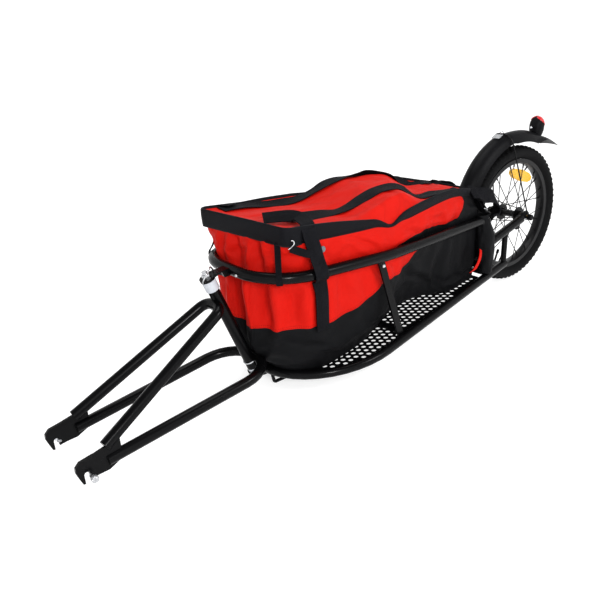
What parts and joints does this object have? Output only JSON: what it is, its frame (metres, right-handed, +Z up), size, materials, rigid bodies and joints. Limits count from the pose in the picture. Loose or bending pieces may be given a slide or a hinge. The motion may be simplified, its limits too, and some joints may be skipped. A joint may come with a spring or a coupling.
{
  "type": "single wheel bicycle touring trailer",
  "caption": "Low narrow luggage trailer with a fork that hitches over a bicycle's rear axle, a boat-shaped tube frame holding a soft bag, and a rear wheel under a mudguard.",
  "frame": {"origin": "centre of the bounding box, on the ground", "axes": "-X towards the hitch, -Y to the trailer's left, +Z up"},
  "size_m": [1.6168, 0.357, 0.4719],
  "materials": {
    "black_paint": "gloss black powder coat",
    "black_alloy": "black anodised",
    "black_steel": "black oxide wire",
    "bright_steel": "bright zinc plate",
    "black_plastic": "satin moulded plastic",
    "white_plastic": "satin moulded plastic",
    "orange_lens": "clear moulded reflector plastic",
    "red_lens": "clear moulded lens plastic",
    "tyre": "moulded tread rubber",
    "red_cloth": "coated woven polyester, black at the bottom",
    "black_webbing": "woven webbing"
  },
  "bodies": {
    "frame": {"axle": "bright_steel", "axle_nut_left": "bright_steel", "axle_cap_left": "black_plastic", "axle_nut_right": "bright_steel", "axle_cap_right": "black_plastic", "floor_frame": "black_paint", "upper_hoop": "black_paint", "floor_sheet": "black_paint", "floor_cross_bar": "black_paint", "rear_stay_left": "black_paint", "rear_dropout_left": "black_paint", "rear_strut_left": "black_paint", "rear_stay_right": "black_paint", "rear_dropout_right": "black_paint", "rear_strut_right": "black_paint", "side_strut_left": "black_paint", "side_strut_bolt_left": "bright_steel", "side_strut_right": "black_paint", "side_strut_bolt_right": "bright_steel", "head_bracket": "black_paint", "nose_lug": "black_paint", "pivot_pin": "bright_steel", "pivot_nut": "bright_steel", "nose_skid": "black_paint", "guard_front": "black_plastic", "guard_rear": "black_plastic", "guard_wire": "black_steel", "guard_clip": "bright_steel", "guard_plate": "black_paint", "lamp_housing": "black_plastic", "lamp_lens": "red_lens", "bag_body": "red_cloth", "bag_lid": "red_cloth", "handle_strap_left": "black_webbing", "tie_strap_left": "black_webbing", "handle_strap_right": "black_webbing", "tie_strap_right": "black_webbing"},
    "fork": {"steering_tube": "black_paint", "lower_bush": "white_plastic", "top_collar": "white_plastic", "tube_ring": "bright_steel", "fork_upper": "black_paint", "fork_lower": "black_paint", "hitch_plate_left": "black_paint", "hitch_plate_right": "black_paint", "lock_barrel_left": "bright_steel", "lock_barrel_right": "bright_steel"},
    "wheel": {"tyre": "tyre", "rim": "black_alloy", "hub_barrel": "black_alloy", "laced_flange_left": "black_steel", "laced_flange_right": "black_steel", "wheel_reflector": "orange_lens"},
    "lock_left": {"lock_pin_left": "bright_steel"},
    "lock_right": {"lock_pin_right": "bright_steel"}
  },
  "joints": [
    {"name": "steering", "type": "hinge", "parent": "frame", "child": "fork", "pos_m": [-0.3375, 0, 0.032], "axis": [-0.3487, 0, 0.9372], "range_deg": [-40, 40]},
    {"name": "wheel_spin", "type": "hinge", "parent": "frame", "child": "wheel", "pos_m": [0.6085, 0, 0.2], "axis": [0, 1, 0], "continuous": true},
    {"name": "lock_left_pull", "type": "slide", "parent": "fork", "child": "lock_left", "axis": [0, -1, 0], "range_m": [0, 0.007], "stiffness_N_per_m": 400},
    {"name": "lock_right_pull", "type": "slide", "parent": "fork", "child": "lock_right", "axis": [0, 1, 0], "range_m": [0, 0.007], "stiffness_N_per_m": 400}
  ]
}
